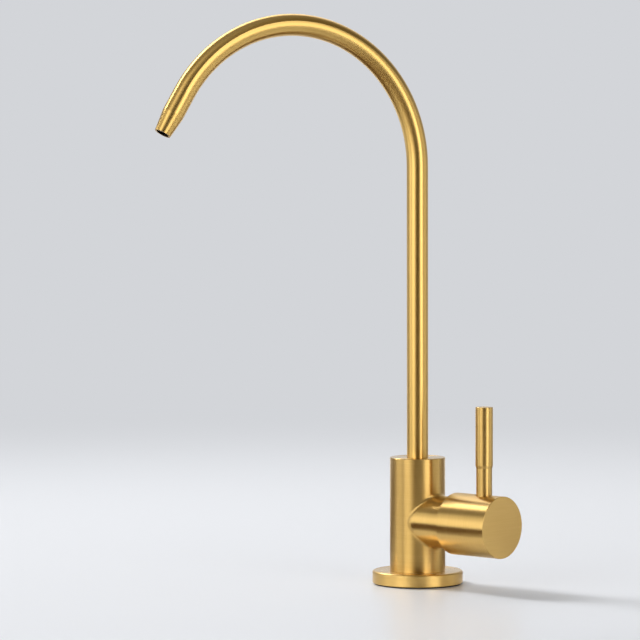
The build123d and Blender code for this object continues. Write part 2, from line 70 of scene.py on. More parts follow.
def add(tree, kind, *inputs, out=0, into=None, stops=(), **settings):
    """Adds one node and hands back one of its outputs, or the node where it has none. Plain inputs
    fill its sockets from the first on, and those in `into` go by name or number. Stops are the
    places and colours of a colour ramp, and everything else is one of the node's own settings."""
    node = tree.nodes.new("ShaderNode" + kind)
    for key, value in settings.items():
        setattr(node, key, value)
    for socket, value in [*enumerate(inputs), *(into or {}).items()]:
        if isinstance(value, bpy.types.NodeSocket):
            tree.links.new(value, node.inputs[socket])
        else:
            node.inputs[socket].default_value = value
    for index, (place, colour) in enumerate(stops):
        points = node.color_ramp.elements
        point = points[index] if index < len(points) else points.new(place)
        point.position, point.color = place, colour
    return node.outputs[out] if node.outputs else node


def empty_material(name):
    """A new material and its node tree, with no nodes in it yet."""
    made = bpy.data.materials.new(name)
    made.use_nodes = True
    made.node_tree.nodes.clear()
    return made, made.node_tree


def paint(material, *names):
    """Gives CAD nodes their finish."""
    for name in names:
        for index in range(len(tap[name].data.materials)):
            tap[name].data.materials[index] = material


# How the brush ran
# Each of these four functions gives, for any spot on a piece: the distance counted at right angles
# to the brush lines, the way that they draw out its shine, 1 where a flat end was faced finer, and 1
# inside a bore, which stays bare and is painted near-black as shade.

# A face counts as an end where its normal is this close to the axis, as a cosine
NEARLY_SQUARE = 0.95


def turned_lines(tree, place, normal, axis, through):
    """A part turned round an axis, so its lines are rings."""
    arm = add(tree, "VectorMath", place, through, operation="SUBTRACT")
    along = add(tree, "VectorMath", arm, axis, operation="DOT_PRODUCT", out=1)
    rings = add(tree, "VectorMath", axis, arm, operation="CROSS_PRODUCT")
    reach = add(tree, "VectorMath", rings, operation="LENGTH", out=1)
    tangent = add(tree, "VectorMath", normal, rings, operation="CROSS_PRODUCT")
    facing = add(tree, "VectorMath", normal, axis, operation="DOT_PRODUCT", out=1)
    faced = add(tree, "Math", facing, NEARLY_SQUARE, operation="GREATER_THAN")
    distance = add(tree, "Math", along, reach, operation="ADD")
    return distance, add(tree, "VectorMath", tangent, operation="NORMALIZE"), faced, 0.0


def hub_lines(tree, place, normal):
    """The handle hub: rings round its own axis, and an end with lines straight across it."""
    distance, tangent, faced, _ = turned_lines(tree, place, normal, BRANCH_WAY, ON_BRANCH_AXIS)
    height = add(tree, "VectorMath", place, UP, operation="DOT_PRODUCT", out=1)
    distance = add(tree, "Mix", faced, into={2: distance, 3: height}, data_type="FLOAT")
    tangent = add(tree, "Mix", faced, into={4: tangent, 5: UP}, data_type="VECTOR", out=1)
    return distance, tangent, 0.0, 0.0


def gooseneck_lines(tree, place, normal):
    """The bent spout tube: rings round its centre line, which rises, follows the arch and runs out."""
    arm = add(tree, "VectorMath", place, tuple(ARCH_CENTRE), operation="SUBTRACT")
    back = add(tree, "VectorMath", arm, tuple(-OUTWARD), operation="DOT_PRODUCT", out=1)
    up = add(tree, "VectorMath", arm, UP, operation="DOT_PRODUCT", out=1)
    turn = add(tree, "Math", up, back, operation="ARCTAN2")
    # The angle jumps below the far side of the arch, where only the outlet end could be
    jumped = add(tree, "Math", turn, -pi / 2, operation="LESS_THAN")
    turn = add(tree, "Math", jumped, 2 * pi, turn, operation="MULTIPLY_ADD")
    turn = add(tree, "Clamp", turn, 0.0, ARCH_SWEEP)
    cosine = add(tree, "Math", turn, operation="COSINE")
    sine = add(tree, "Math", turn, operation="SINE")
    rise = add(tree, "VectorMath", UP, into={3: cosine}, operation="SCALE")
    lean = add(tree, "VectorMath", tuple(OUTWARD), into={3: sine}, operation="SCALE")
    tangent = add(tree, "VectorMath", rise, lean, operation="ADD")
    run = add(tree, "VectorMath", arm, tangent, operation="DOT_PRODUCT", out=1)
    # The inside of the tube faces its centre line, and the outside faces away from it
    crown = add(tree, "VectorMath", UP, into={3: sine}, operation="SCALE")
    side = add(tree, "VectorMath", tuple(-OUTWARD), into={3: cosine}, operation="SCALE")
    spoke = add(tree, "VectorMath", crown, side, operation="ADD")
    middle = add(tree, "VectorMath", spoke, into={3: ARCH_RADIUS}, operation="SCALE")
    from_line = add(tree, "VectorMath", arm, middle, operation="SUBTRACT")
    outward = add(tree, "VectorMath", from_line, normal, operation="DOT_PRODUCT", out=1)
    # Inside the tube the colour is later painted near-black: painted shade in the bore, on the bare steel
    bare_shaded_bore = add(tree, "Math", outward, 0.0, operation="LESS_THAN")
    return add(tree, "Math", turn, ARCH_RADIUS, run, operation="MULTIPLY_ADD"), tangent, 0.0, bare_shaded_bore


def tee_lines(tree, place, normal):
    """The body: rings round its column and, past the joint, round its side branch."""
    column = turned_lines(tree, place, normal, UP, (0, 0, 0))
    branch = turned_lines(tree, place, normal, BRANCH_WAY, ON_BRANCH_AXIS)
    x, y, z = (add(tree, "SeparateXYZ", place, out=index) for index in range(3))
    flat = add(tree, "CombineXYZ", x, y)
    reach = add(tree, "VectorMath", flat, operation="LENGTH", out=1)
    blend_start, blend_end = COLUMN_RADIUS + 0.1 * MM, COLUMN_RADIUS + 1.4 * MM
    past = add(tree, "MapRange", reach, blend_start, blend_end, interpolation_type="SMOOTHSTEP")
    branch_side = add(tree, "Math", x, 0.0, operation="GREATER_THAN")
    share = add(tree, "Math", past, branch_side, operation="MULTIPLY")
    distance = add(tree, "Mix", share, into={2: column[0], 3: branch[0]}, data_type="FLOAT")
    tangent = add(tree, "Mix", share, into={4: column[1], 5: branch[1]}, data_type="VECTOR", out=1)
    top_start = COLUMN_TOP - 0.05 * MM
    return distance, tangent, add(tree, "Math", z, top_start, operation="GREATER_THAN"), 0.0


# Turned and brushed metal

UPRIGHT = (turned_lines, UP, (0, 0, 0))
SIDEWAYS = (turned_lines, BRANCH_WAY, ON_BRANCH_AXIS)
ROUND_LEVER = (turned_lines, UP, (LEVER_X, 0, 0))
# Handling leaves patches this wide that shine a little less
PATCH_MM = 18
# What lines, patches and a finer faced end add to the roughness
BY_LINE, BY_PATCH, BY_FACING = 0.07, 0.03, -0.12
# How high the hairs stand beside the lines, and how much of both a faced end loses
HAIR_SHARE, FACED_SHARE = 0.35, 0.9


def turned_metal(name, lines, tones, line_sizes_mm, roughness, streak, veil=0.0):
    """Metal with fine lines from the lathe or the brush. The line sizes are their spacing, length
    and depth. Streak, from 0 to 1, says how far they draw its shine out across themselves, and veil
    is the weight of a wide, even shine over it."""
    made, tree = empty_material(name)
    place = add(tree, "TexCoord", out="Object")
    normal = add(tree, "TexCoord", out="Normal")
    distance, tangent, faced, bare_shaded_bore = lines[0](tree, place, normal, *lines[1:])
    tangent = add(
        tree, "VectorTransform", tangent,
        vector_type="VECTOR", convert_from="OBJECT", convert_to="WORLD",
    )
    spacing, length, depth = (size * MM for size in line_sizes_mm)
    across = add(tree, "Math", distance, 1 / spacing, operation="MULTIPLY")
    across = add(tree, "CombineXYZ", across)
    streaks = add(tree, "VectorMath", place, (1 / length,) * 3, across, operation="MULTIPLY_ADD")
    brush = add(tree, "TexNoise", into={"Vector": streaks, "Scale": 1.0, "Detail": 3.0, "Roughness": 0.6})
    hairs = add(tree, "TexNoise", into={"Vector": streaks, "Scale": 3.7, "Detail": 1.0, "Roughness": 0.5})
    patches = add(tree, "TexNoise", into={"Vector": place, "Scale": 1 / (PATCH_MM * MM), "Detail": 2.0})
    calm = add(tree, "Math", faced, FACED_SHARE, operation="MULTIPLY")
    brush = add(tree, "Mix", calm, into={2: brush, 3: 0.5}, data_type="FLOAT")
    hairs = add(tree, "Mix", calm, into={2: hairs, 3: 0.5}, data_type="FLOAT")
    height = add(tree, "Math", hairs, HAIR_SHARE, brush, operation="MULTIPLY_ADD")
    bump = add(tree, "Bump", into={"Strength": 1.0, "Distance": depth, "Height": height})
    rough = add(tree, "Math", brush, BY_LINE, roughness, operation="MULTIPLY_ADD")
    rough = add(tree, "Math", patches, BY_PATCH, rough, operation="MULTIPLY_ADD")
    rough = add(tree, "Math", faced, BY_FACING, rough, operation="MULTIPLY_ADD")
    low, high = (linear(tone) for tone in tones)
    tone = add(tree, "Mix", brush, into={6: low, 7: high}, data_type="RGBA", out=2)
    # Inside a tube the coating doesn't reach and the drawn steel is bare; its near-black colour there is
    # painted shade in the bore
    tone = add(tree, "Mix", bare_shaded_bore, into={6: tone, 7: linear("#3B3833")}, data_type="RGBA", out=2)
    shader = add(
        tree, "BsdfPrincipled",
        into={
            "Base Color": tone, "Metallic": 1.0, "Roughness": rough, "Anisotropic": streak,
            "Normal": bump, "Tangent": tangent, "Coat Weight": veil, "Coat Roughness": 0.3,
        },
    )
    add(tree, "OutputMaterial", shader)
    return made


# Brushed stainless steel with a gold coating laid on in vacuum. The coating is too thin to fill the
# brush lines, so the shine is drawn out across them into soft bands from pale gold to brown, with
# fine hairs in it. Real lines are 0.1 to 0.3 mm apart, and the strongest are drawn 0.77 mm apart,
# because finer ones wouldn't show. The bent tube is the finest brushed and has the smoothest shine,
# the body and the handle have less of it, and the foot least.
GOLD = ("#DFB663", "#EBC476")
TUBE_GOLD = ("#E2BA68", "#E8C071")
GOLD_LINES = (0.77, 26.0, 0.009)
TUBE_LINES = (0.77, 26.0, 0.001)
gooseneck = turned_metal("brushed_gold_gooseneck", (gooseneck_lines,), TUBE_GOLD, TUBE_LINES, 0.25, 0.92, 0.1)
paint(gooseneck, "spout_tube")
paint(turned_metal("brushed_gold_body", (tee_lines,), GOLD, GOLD_LINES, 0.285, 1.0, 0.4), "body_tee")
paint(turned_metal("brushed_gold_hub", (hub_lines,), GOLD, GOLD_LINES, 0.285, 1.0, 0.4), "handle_hub")
paint(turned_metal("brushed_gold_foot", UPRIGHT, GOLD, GOLD_LINES, 0.34, 0.7, 0.4), "base_flange")
lever = turned_metal("brushed_gold_lever", ROUND_LEVER, GOLD, GOLD_LINES, 0.27, 1.0, 0.4)
paint(lever, "lever_stem", "lever_grip")

# Free-cutting brass as it comes off an automatic lathe: a warm yellow with close, even tool rings
# 0.15 mm apart, drawn 0.4 mm apart so that they show, and a bright line of shine over them
BRASS = ("#C6A04F", "#DDBB70")
BRASS_LINES = (0.4, 90.0, 0.006)
brass_upright = turned_metal("turned_brass_upright", UPRIGHT, BRASS, BRASS_LINES, 0.24, 0.8)
brass_sideways = turned_metal("turned_brass_sideways", SIDEWAYS, BRASS, BRASS_LINES, 0.24, 0.8)

# Stainless steel bar and sheet, turned or stamped and tumbled bright: a cool grey that mirrors its
# surroundings with soft rings in it
STEEL = ("#B4B3B0", "#CBCAC8")
STEEL_LINES = (0.3, 60.0, 0.003)
steel_upright = turned_metal("bright_stainless_upright", UPRIGHT, STEEL, STEEL_LINES, 0.2, 0.5)
steel_sideways = turned_metal("bright_stainless_sideways", SIDEWAYS, STEEL, STEEL_LINES, 0.2, 0.5)


# Rubber, plastic and ceramic

# The tone drifts over patches this wide, as mixed or fired material does
DRIFT_MM = 12
# How far the grain swings the roughness, from end to end
GRAIN_SWING = 0.12


def moulded(name, tones, roughness, grain_mm, depth_mm, ior, light_depth_mm=0.0):
    """A material with an even, grainy skin, into which light goes as deep as the last size says."""
    made, tree = empty_material(name)
    place = add(tree, "TexCoord", out="Object")
    grain = add(tree, "TexNoise", into={"Vector": place, "Scale": 1 / (grain_mm * MM), "Detail": 2.0})
    drift = add(tree, "TexNoise", into={"Vector": place, "Scale": 1 / (DRIFT_MM * MM), "Detail": 2.0})
    bump = add(tree, "Bump", into={"Strength": 1.0, "Distance": depth_mm * MM, "Height": grain})
    smoothest = roughness - GRAIN_SWING / 2
    rough = add(tree, "Math", grain, GRAIN_SWING, smoothest, operation="MULTIPLY_ADD")
    low, high = (linear(tone) for tone in tones)
    tone = add(tree, "Mix", drift, into={6: low, 7: high}, data_type="RGBA", out=2)
    shader = add(
        tree, "BsdfPrincipled",
        into={
            "Base Color": tone, "Roughness": rough, "IOR": ior, "Normal": bump,
            "Subsurface Weight": 0.25 if light_depth_mm else 0.0,
            "Subsurface Scale": light_depth_mm * MM, "Subsurface Radius": (1.0, 0.9, 0.8),
        },
    )
    add(tree, "OutputMaterial", shader)
    return made


# Nitrile rubber, moulded and dusted with talc: a dull near-black whose edges catch a wide grey sheen
nitrile = moulded("nitrile_rubber", ("#191817", "#2A2826"), 0.66, 0.35, 0.02, 1.52)
# Acetal as moulded, with the fine spark grain of the mould: waxy, softly shining, and light goes in
# a little way
white_acetal = moulded("moulded_white_acetal", ("#E0DED7", "#EDEBE6"), 0.4, 0.3, 0.006, 1.48, 0.8)
grey_acetal = moulded("moulded_grey_acetal", ("#686C70", "#7C8084"), 0.4, 0.3, 0.006, 1.48, 0.3)
# Alumina, fired and lapped flat: cream white, dense, with a hard and nearly even shine
alumina = moulded("lapped_alumina", ("#E2DFD6", "#EFEDE7"), 0.2, 0.2, 0.001, 1.76)

# The finish of a piece that stands round Z, and of one that lies along the branch
FINISHES = {
    "black_rubber": (nitrile, nitrile),
    "brass": (brass_upright, brass_sideways),
    "stainless": (steel_upright, steel_sideways),
    "white_acetal": (white_acetal, white_acetal),
    "grey_acetal": (grey_acetal, grey_acetal),
    "alumina": (alumina, alumina),
}
SIDEWAYS_PIECES = ("cartridge_housing", "cartridge_nut", "valve_stem", "stop_washer", "stem_clip")
for entry in frame["record"]["subparts"]:
    if entry["material_slot"] in FINISHES:
        pair = FINISHES[entry["material_slot"]]
        paint(pair[entry["node"] in SIDEWAYS_PIECES], entry["node"])


# Ways of making a piece
# Their sizes are in millimetres, as on a drawing.

# Faces that meet at less than this are smooth, and points closer than this, in metres, are one
SMOOTH_BELOW = radians(32)
MERGE_WITHIN = 1e-7


def begin():
    """Leaves edit mode and lets go of everything, because operators act on what is selected."""
    if bpy.context.object and bpy.context.object.mode == "EDIT":
        bpy.ops.object.mode_set(mode="OBJECT")
    bpy.ops.object.select_all(action="DESELECT")


def settle(name, piece):
    """Names the piece, puts its place into its mesh and smooths its round faces."""
    begin()
    piece.name = name
    piece.select_set(True)
    bpy.context.view_layer.objects.active = piece
    bpy.ops.object.transform_apply(location=True, rotation=True, scale=True)
    bpy.ops.object.shade_smooth_by_angle(angle=SMOOTH_BELOW)
    return piece


def close_up(fill):
    """Merges the doubles of the mesh in edit mode, caps its ends if asked, and turns its faces out."""
    bpy.ops.mesh.select_all(action="SELECT")
    bpy.ops.mesh.remove_doubles(threshold=MERGE_WITHIN)
    if fill:
        bpy.ops.mesh.fill_holes(sides=0)
    bpy.ops.mesh.normals_make_consistent(inside=False)
    bpy.ops.object.mode_set(mode="OBJECT")


def lathe(outline, sides=96, hollow=True):
    """A turned piece round Z. It starts as a circle, and each point of the outline (radius, height)
    is one extrusion, moved and scaled. A hollow piece closes on its start; a solid one is capped."""
    begin()
    radius, z = (size * MM for size in outline[0])
    bpy.ops.mesh.primitive_circle_add(
        vertices=sides, radius=radius, fill_type="NOTHING", location=(0, 0, z)
    )
    bpy.ops.object.mode_set(mode="EDIT")
    bpy.ops.mesh.select_mode(type="VERT")
    bpy.ops.mesh.select_all(action="SELECT")
    for next_radius, next_z in outline[1:] + (outline[:1] if hollow else []):
        next_radius, next_z = next_radius * MM, next_z * MM
        bpy.ops.mesh.extrude_region_move(TRANSFORM_OT_translate={"value": (0, 0, next_z - z)})
        grow = next_radius / radius
        bpy.ops.transform.resize(value=(grow, grow, 1), center_override=(0, 0, next_z))
        radius, z = next_radius, next_z
    close_up(fill=not hollow)
    return settle("turned", bpy.context.object)


def hex_bar(across_flats, low, high):
    """Hexagon bar round Z between two heights."""
    begin()
    corner = across_flats / 2 / cos(pi / 6) * MM
    bpy.ops.mesh.primitive_cylinder_add(
        vertices=6, radius=corner, depth=(high - low) * MM, location=(0, 0, (high + low) / 2 * MM)
    )
    return settle("hex_bar", bpy.context.object)


def combine(piece, tool, operation):
    """Cuts, joins or trims a piece with another, which is then gone."""
    begin()
    piece.select_set(True)
    bpy.context.view_layer.objects.active = piece
    cut = piece.modifiers.new("shape", "BOOLEAN")
    cut.object, cut.operation, cut.solver = tool, operation, "EXACT"
    bpy.ops.object.modifier_apply(modifier=cut.name)
    bpy.data.objects.remove(tool, do_unlink=True)
    return piece


def join(*pieces):
    """Makes several pieces one object, without melting them together."""
    begin()
    for piece in pieces:
        piece.select_set(True)
    bpy.context.view_layer.objects.active = pieces[0]
    bpy.ops.object.join()
    return pieces[0]


def copies_round(piece, count):
    """The piece and its copies, evenly spaced round Z, joined."""
    made = [piece]
    for index in range(1, count):
        begin()
        piece.select_set(True)
        bpy.context.view_layer.objects.active = piece
        bpy.ops.object.duplicate()
        made.append(bpy.context.object)
        made[-1].rotation_euler = (0, 0, 2 * pi * index / count)
        bpy.ops.object.transform_apply(location=True, rotation=True, scale=True)
    return join(*made)


def finish(name, piece, material, node, body):
    """Gives a finished piece its looks, and puts it in the place of its CAD node."""
    settle(name, piece)
    piece.data.materials.clear()
    piece.data.materials.append(material)
    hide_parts(node)
    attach(piece, body)
    return piece


# Pieces under the worktop
# Heights are measured from the worktop's top face, so most of them are below zero.

CLEAR_BORE = 5.8
OVERRUN = 0.2


def threaded_shank():
    """The hollow tube through the worktop: a turned core with a thread wound round it."""
    bore, full, root, crest = 3.2, 5.55, 4.98, 5.54
    top, low, thread_top = 19.6, -60.0, -4.3
    lip, point_in, point_up, shoulder = 0.4, 0.48, 0.5, 0.6
    pitch, turns, lead, sunk = 1.058, 52, 1.0, 0.08
    core = lathe([
        (bore, low + lip), (bore + lip, low), (root - point_in, low), (root, low + point_up),
        (root, thread_top), (full, thread_top + shoulder), (full, top), (bore, top),
    ])
    ridge = thread_ridge(root - sunk, crest, pitch, low + lead, turns)
    return join(core, ridge)


def thread_ridge(root, crest, pitch, start, turns):
    """The ridge of a right-hand thread: a flat-topped section wound upwards round Z."""
    base_share, crest_share, steps = 0.94, 0.22, 60
    middle = (root + crest) / 2 * MM
    begin()
    bpy.ops.mesh.primitive_plane_add(
        size=1, rotation=(pi / 2, 0, 0), location=(middle, 0, start * MM)
    )
    ridge = bpy.context.object
    ridge.scale = ((crest - root) * MM, base_share * pitch * MM, 1)
    settle("ridge", ridge)
    bpy.ops.object.mode_set(mode="EDIT")
    bpy.ops.mesh.select_mode(type="VERT")
    bpy.ops.mesh.select_all(action="DESELECT")
    mesh = bmesh.from_edit_mesh(ridge.data)
    for vertex in mesh.verts:
        vertex.select_set(vertex.co.x > middle)
    mesh.select_flush(True)
    bmesh.update_edit_mesh(ridge.data)
    bpy.ops.transform.resize(
        value=(1, 1, crest_share), center_override=(crest * MM, 0, start * MM)
    )
    bpy.ops.mesh.select_all(action="SELECT")
    bpy.ops.mesh.delete(type="ONLY_FACE")
    bpy.ops.object.mode_set(mode="OBJECT")
    wind = ridge.modifiers.new("wind", "SCREW")
    wind.axis, wind.angle, wind.iterations = "Z", 2 * pi, turns
    wind.screw_offset, wind.steps, wind.render_steps = pitch * MM, steps, steps
    bpy.ops.object.modifier_apply(modifier=wind.name)
    bpy.ops.object.mode_set(mode="EDIT")
    close_up(fill=True)
    return settle("ridge", ridge)


def rubber_washer():
    """Thick and soft-edged, with a rim that is a little hollow halfway up."""
    rim, top, low = 15.0, -20.0, -23.0
    lip, edge, waist = 0.4, 0.6, 0.08
    shoulder_in, shoulder_down = 0.2, 0.15
    return lathe([
        (CLEAR_BORE, top - lip), (CLEAR_BORE + lip, top), (rim - edge, top),
        (rim - shoulder_in, top - shoulder_down), (rim, top - edge),
        (rim - waist, (top + low) / 2), (rim, low + edge),
        (rim - shoulder_in, low + shoulder_down), (rim - edge, low),
        (CLEAR_BORE + lip, low), (CLEAR_BORE, low + lip),
    ])


def steel_washer():
    """Stamped, so its upper edges are rolled over and its lower ones stay sharp."""
    rim, top, low = 13.5, -23.0, -24.6
    roll, shoulder, bore_in, bore_down = 0.35, 0.1, 0.2, 0.25
    return lathe([
        (CLEAR_BORE, top - bore_down), (CLEAR_BORE + bore_in, top), (rim - roll, top),
        (rim - shoulder, top - shoulder), (rim, top - roll), (rim, low), (CLEAR_BORE, low),
    ])


def tooth_washer():
    """A flat ring with twelve teeth, each a block whose outer end is narrower and twisted."""
    middle, rim, count = -25.0, 7.9, 12
    half, straight_half = 0.38, 0.25
    edge_out, edge_in = 0.15, 0.2
    tooth_centre, tooth_end = 8.3, 9.4
    tooth_size = Vector((2.3, 3.0, 0.46))
    end_width_share, twist, tooth_rounding = 0.86, radians(9), 0.12
    begin()
    bpy.ops.mesh.primitive_cube_add(size=1, location=(tooth_centre * MM, 0, middle * MM))
    tooth = bpy.context.object
    tooth.scale = tooth_size * MM
    settle("tooth", tooth)
    bpy.ops.object.mode_set(mode="EDIT")
    bpy.ops.mesh.select_mode(type="FACE")
    bpy.ops.mesh.select_all(action="DESELECT")
    mesh = bmesh.from_edit_mesh(tooth.data)
    for face in mesh.faces:
        face.select_set(face.normal.x > 0.9)
    bmesh.update_edit_mesh(tooth.data)
    pivot = (tooth_end * MM, 0, middle * MM)
    bpy.ops.transform.resize(value=(1, end_width_share, 1), center_override=pivot)
    bpy.ops.transform.rotate(value=twist, orient_axis="X", center_override=pivot)
    bpy.ops.object.mode_set(mode="OBJECT")
    rounding = tooth.modifiers.new("rounding", "BEVEL")
    rounding.width, rounding.segments = tooth_rounding * MM, 2
    bpy.ops.object.modifier_apply(modifier=rounding.name)
    teeth = copies_round(tooth, count)
    band = lathe([
        (CLEAR_BORE, middle + straight_half), (CLEAR_BORE + edge_in, middle + half),
        (rim - edge_out, middle + half), (rim, middle + straight_half),
        (rim, middle - straight_half), (rim - edge_out, middle - half),
        (CLEAR_BORE + edge_in, middle - half), (CLEAR_BORE, middle - straight_half),
    ])
    return join(band, teeth)


def mounting_nut():
    """A hexagon with its corners turned off at both ends, and a bore with open mouths."""
    across_flats, top, low = 17.0, -25.4, -32.4
    face_radius, past_corners, slope = 8.15, 9.9, 0.95
    bore, mouth, mouth_depth = 5.6, 6.25, 0.6
    turned = lathe([
        (face_radius, top), (past_corners, top - slope),
        (past_corners, low + slope), (face_radius, low),
    ], hollow=False)
    nut = combine(hex_bar(across_flats, low, top), turned, "INTERSECT")
    drill = lathe([
        (mouth, top + OVERRUN), (bore, top - mouth_depth),
        (bore, low + mouth_depth), (mouth, low - OVERRUN),
    ], hollow=False)
    return combine(nut, drill, "DIFFERENCE")


def adaptor_body():
    """The water connector: a hexagon collar above, and below it a barrel fluted for the fingers."""
    across_flats, top, collar_low, low = 20.0, -50.0, -62.0, -79.8
    face_radius, past_corners, slope = 10.5, 11.2, 0.7
    barrel, barrel_edge, sunk = 9.0, 0.4, 1.5
    turned = lathe([
        (face_radius, top), (past_corners, top - slope),
        (past_corners, collar_low + slope), (face_radius, collar_low),
    ], hollow=False)
    collar = combine(hex_bar(across_flats, collar_low, top), turned, "INTERSECT")
    lower = lathe([
        (barrel - barrel_edge, low), (barrel, low + barrel_edge), (barrel, collar_low + sunk),
    ], hollow=False)
    body = combine(collar, lower, "UNION")
    flute_radius, flute_length, flute_centre, flute_middle, flutes = 0.75, 12.5, 9.3, -70.8, 18
    begin()
    bpy.ops.mesh.primitive_cylinder_add(
        vertices=16, radius=flute_radius * MM, depth=flute_length * MM,
        location=(flute_centre * MM, 0, flute_middle * MM),
    )
    flute = settle("flute", bpy.context.object)
    body = combine(body, copies_round(flute, flutes), "DIFFERENCE")
    thread, thread_mouth, mouth_depth = 5.6, 6.2, 0.6
    water_way, way_low = 2.2, -64.0
    tube_port, port_low = 3.25, -72.0
    ring_seat, ring_low = 5.0, -74.2
    sleeve_seat, sleeve_low, sleeve_mouth, past_end = 6.6, -79.5, 6.85, 0.1
    ways = lathe([
        (thread_mouth, top + OVERRUN), (thread, top - mouth_depth), (thread, collar_low),
        (water_way, collar_low), (water_way, way_low), (tube_port, way_low), (tube_port, port_low),
        (ring_seat, port_low), (ring_seat, ring_low), (sleeve_seat, ring_low),
        (sleeve_seat, sleeve_low), (sleeve_mouth, low - past_end),
    ], hollow=False)
    return combine(body, ways, "DIFFERENCE")


def collet():
    """The ring that grips the water tube: a soft-edged button, a sleeve and teeth, slit twice."""
    bore, button, sleeve, hook, tip = 3.4, 7.0, 4.55, 4.95, 4.6
    low, button_top, hook_low, hook_top, top = -82.8, -81.2, -78.3, -77.0, -76.4
    lip, edge, shoulder = 0.5, 0.5, 0.15
    back_in, back_down = 0.6, 0.4
    back_shoulder_in, back_shoulder_down = 0.2, 0.1
    ring = lathe([
        (bore, low + lip), (bore + lip, low), (button - edge, low),
        (button - shoulder, low + shoulder), (button, low + edge),
        (button, button_top - back_down),
        (button - back_shoulder_in, button_top - back_shoulder_down),
        (button - back_in, button_top), (sleeve, button_top), (sleeve, hook_low),
        (hook, hook_low), (hook, hook_top), (tip, top), (bore, top),
    ])
    slit_size, slit_middle = Vector((12, 1.0, 3.6)), -78.0
    for turn_by in (0, pi / 2):
        begin()
        bpy.ops.mesh.primitive_cube_add(
            size=1, location=(0, 0, slit_middle * MM), rotation=(0, 0, turn_by)
        )
        slit = bpy.context.object
        slit.scale = slit_size * MM
        ring = combine(ring, settle("slit", slit), "DIFFERENCE")
    return ring


finish("threaded_shank_wound", threaded_shank(), steel_upright, "threaded_shank", "tap_body")
finish("rubber_washer_soft", rubber_washer(), nitrile, "deck_washer", "clamp")
finish("steel_washer_stamped", steel_washer(), steel_upright, "clamp_washer", "clamp")
finish("tooth_washer_twisted", tooth_washer(), steel_upright, "lock_washer", "clamp")
finish("mounting_nut_chamfered", mounting_nut(), brass_upright, "mounting_nut", "clamp_nut")
finish("adaptor_body_moulded", adaptor_body(), white_acetal, "adaptor_body", "tap_body")
finish("collet_soft_edged", collet(), grey_acetal, "collet", "tube_collet")


# Floor

WALL = linear("#D3D5D9")
FLOOR_RADIUS = 2.2
FADE_START, FADE_END = 0.2, 1.3

begin()
bpy.ops.mesh.primitive_circle_add(vertices=96, radius=FLOOR_RADIUS, fill_type="NGON")
floor = bpy.context.object
floor.name = "floor"
# Pale quartz worktop, honed: nearly white and faintly cool, with a weak, blurred mirror in it. Far
# from the tap it melts into the pale background, and from below it is clear, so that the pieces
# under the worktop can be seen.
quartz, tree = empty_material("pale_honed_quartz")
place = add(tree, "TexCoord", out="Object")
far = add(tree, "VectorMath", place, operation="LENGTH", out=1)
fade = add(tree, "MapRange", far, FADE_START, FADE_END, interpolation_type="SMOOTHERSTEP")
seen = add(tree, "LightPath", out="Is Camera Ray")
honed = add(tree, "BsdfPrincipled", into={"Base Color": linear("#E0E3E9"), "Roughness": 0.34})
melted = add(tree, "Math", fade, seen, operation="MULTIPLY")
surface = add(tree, "MixShader", melted, honed, add(tree, "Emission", WALL, 1.0))
below = add(tree, "Math", add(tree, "NewGeometry", out="Backfacing"), seen, operation="MULTIPLY")
add(tree, "OutputMaterial", add(tree, "MixShader", below, surface, add(tree, "BsdfTransparent")))
floor.data.materials.append(quartz)


# Studio
# Brushed metal shows little but what stands round it, so the studio round the tap is drawn in full:
# large soft panels at both sides of the camera, a dark gap behind it, dim sides and, straight behind
# the tap, the same pale wall that the camera sees. Directions are degrees round the tap from the
# camera to its right, and levels are the brightness there.

CAMERA_SIDE = radians(-49)


def grey(level, warmth=0.0):
    """A level of light, tinted towards amber by its warmth."""
    return (level * (1 + warmth), level, level * (1 - 2 * warmth), 1)


# From the floor up
LOW = [
    (-180, WALL), (-160, WALL), (-145, grey(0.45)), (-122, grey(0.2)), (-108, grey(0.3)),
    (-100, grey(0.5)), (-94, grey(1.0)), (-87, grey(1.75)), (-72, grey(1.75)), (-67, grey(1.15)),
    (-60, grey(1.3)), (-56, grey(2.4)), (-36, grey(2.4)), (-24, grey(1.3)), (-13, grey(0.2, 0.2)),
    (-5, grey(0.03, 0.4)), (13, grey(0.02, 0.4)), (20, grey(0.2, 0.2)), (28, grey(1.2)),
    (36, grey(2.9)), (54, grey(3.1)), (60, grey(1.1)), (66, grey(0.55, 0.05)), (74, grey(0.8, 0.05)),
    (88, grey(0.9, 0.05)), (98, grey(1.25)), (108, grey(0.65)), (124, grey(0.35)), (148, grey(0.45)),
    (160, WALL), (180, WALL),
]
# Above it, with darker sides
MIDDLE = [
    (-180, WALL), (-150, grey(0.55)), (-122, grey(0.3)), (-84, grey(0.3)), (-76, grey(1.5)),
    (-67, grey(0.9)), (-60, grey(0.9)), (-56, grey(2.0)), (-36, grey(2.4)), (-24, grey(1.3)),
    (-13, grey(0.2, 0.2)), (-5, grey(0.03, 0.4)), (13, grey(0.02, 0.4)), (20, grey(0.2, 0.2)),
    (28, grey(1.2)), (36, grey(2.9)), (54, grey(3.1)), (60, grey(0.6)), (66, grey(0.12)),
    (120, grey(0.12)), (150, grey(0.45)), (180, WALL),
]
# Up to the top of the walls, with a bright patch behind the tap on the left
HIGH = [
    (-180, grey(1.6)), (-155, grey(3.0)), (-128, grey(3.2)), (-116, grey(1.2)), (-104, grey(0.3)),
    (-84, grey(0.2)), (-62, grey(0.2)), (-52, grey(1.4)), (-36, grey(2.2)),
    (-24, grey(1.3)), (-13, grey(0.3)), (20, grey(0.3)),
    *[stop for stop in MIDDLE if 25 < stop[0] < 130], (150, grey(1.0)), (180, grey(1.6)),
]
# The heights in degrees where one picture passes into the next, and where the ceiling brightens
LOW_TO_MIDDLE = (13, 21)
MIDDLE_TO_HIGH = (27, 35)
DIM_TO_BRIGHTER = (50, 80)
